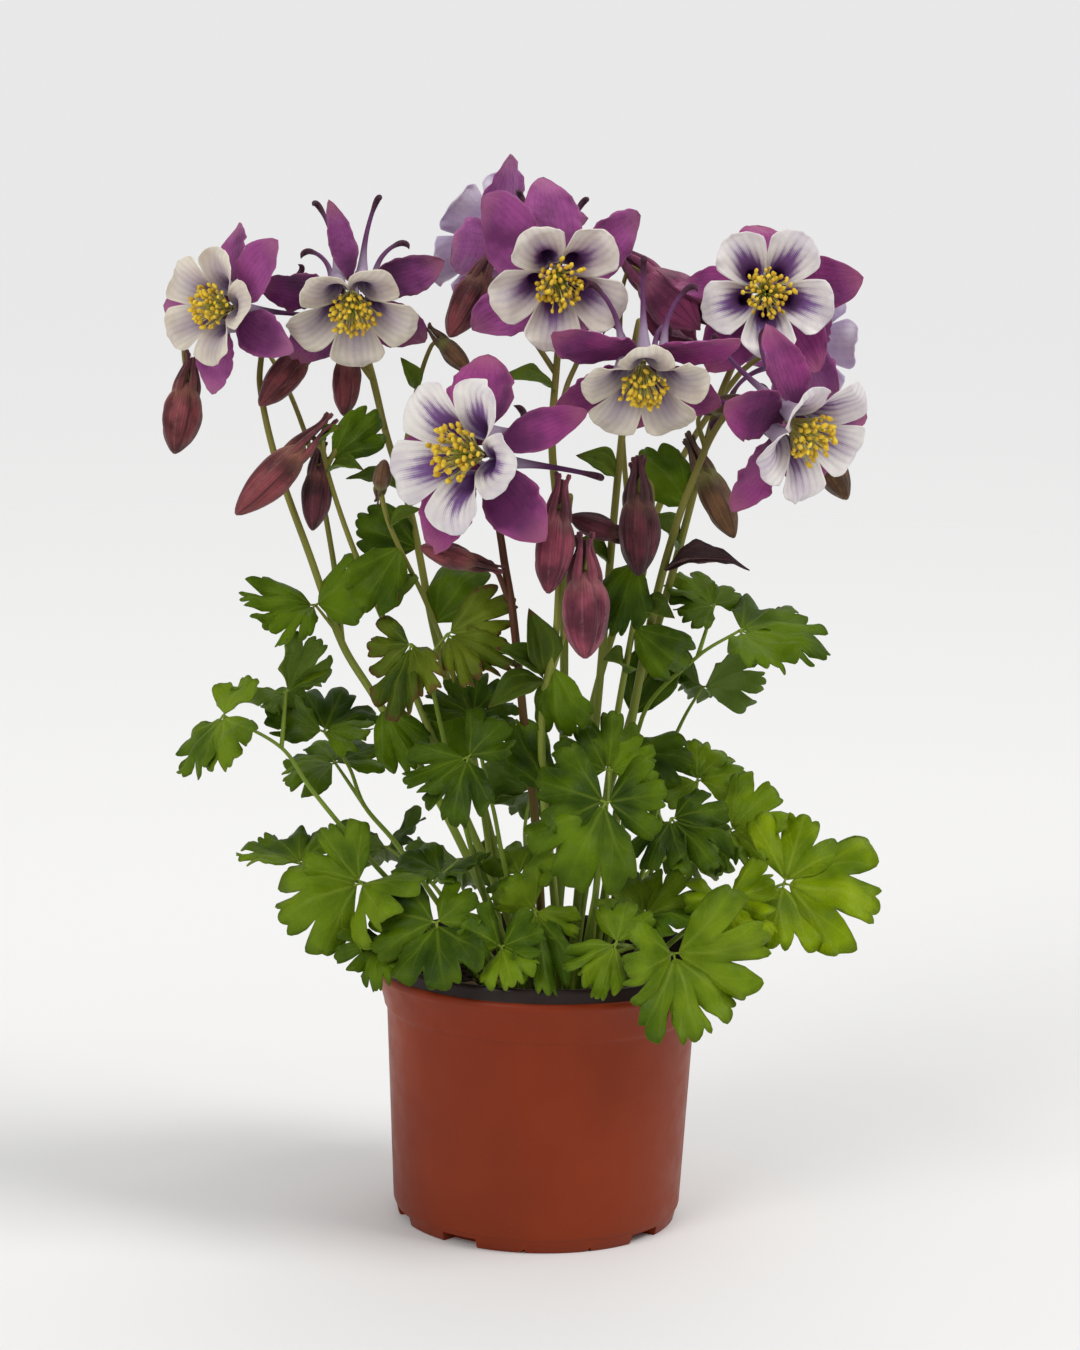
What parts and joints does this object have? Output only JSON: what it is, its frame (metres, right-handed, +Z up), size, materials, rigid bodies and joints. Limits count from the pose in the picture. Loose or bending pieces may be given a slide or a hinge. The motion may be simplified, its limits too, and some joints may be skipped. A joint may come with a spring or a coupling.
{
  "type": "potted columbine plant",
  "caption": "Columbine plant in a round plastic nursery pot: spurred purple and white blooms and hanging buds on slender stems above a rosette of lobed leaves.",
  "frame": {"origin": "middle of the pot's flat underside, on the surface it stands on", "axes": "+Z up through the pot, -Y the plant's fuller front side, +X to the right of the front"},
  "size_m": [0.2764, 0.1834, 0.4063],
  "materials": {
    "pot": "terracotta coloured moulded plastic, satin outside, dark brown inside",
    "soil": "dark crumbly peat with brown fibres",
    "leaf": "soft matte green blade with pale veins, paler underneath",
    "stem": "olive green to maroon stalks, bracts and buds, fine-haired",
    "sepal": "thin violet purple petal tissue with darker veins",
    "petal": "cream white petal tissue with a dark violet throat and purple spurs",
    "stamen": "golden anthers on pale green stalks"
  },
  "bodies": {
    "root": {"pot": "pot", "soil": "soil", "leaf_front_right": "leaf", "leaf_front": "leaf", "leaf_front_left": "leaf", "leaf_left": "leaf", "leaf_far_left": "leaf", "leaf_left_middle": "leaf", "leaf_crown_left": "leaf", "leaf_crown": "leaf", "leaf_centre_left": "leaf", "leaf_centre": "leaf", "leaf_right": "leaf", "leaf_right_middle": "leaf", "leaf_right_front": "leaf", "leaf_upper_left": "leaf", "leaf_upper_right": "leaf", "leaf_right_back": "leaf", "leaf_back_right": "leaf", "leaf_back": "leaf", "leaf_back_left": "leaf", "stem_left": "stem", "stem_left_buds": "stem", "stem_upper_left": "stem", "stem_middle": "stem", "stem_thin_left": "stem", "stem_top": "stem", "stem_centre": "stem", "stem_right": "stem", "stem_lower_right": "stem", "stem_back": "stem", "stem_front_buds": "stem", "stem_right_buds": "stem", "bloom_left_sepals": "sepal", "bloom_left_petals": "petal", "bloom_left_stamens": "stamen", "bloom_upper_left_sepals": "sepal", "bloom_upper_left_petals": "petal", "bloom_upper_left_stamens": "stamen", "bloom_middle_sepals": "sepal", "bloom_middle_petals": "petal", "bloom_middle_stamens": "stamen", "bloom_top_sepals": "sepal", "bloom_top_petals": "petal", "bloom_top_stamens": "stamen", "bloom_top_back_sepals": "sepal", "bloom_top_back_petals": "petal", "bloom_top_back_stamens": "stamen", "bloom_centre_sepals": "sepal", "bloom_centre_petals": "petal", "bloom_centre_stamens": "stamen", "bloom_right_sepals": "sepal", "bloom_right_petals": "petal", "bloom_right_stamens": "stamen", "bloom_lower_right_sepals": "sepal", "bloom_lower_right_petals": "petal", "bloom_lower_right_stamens": "stamen", "bloom_right_back_sepals": "sepal", "bloom_right_back_petals": "petal", "bloom_right_back_stamens": "stamen"}
  },
  "joints": []
}
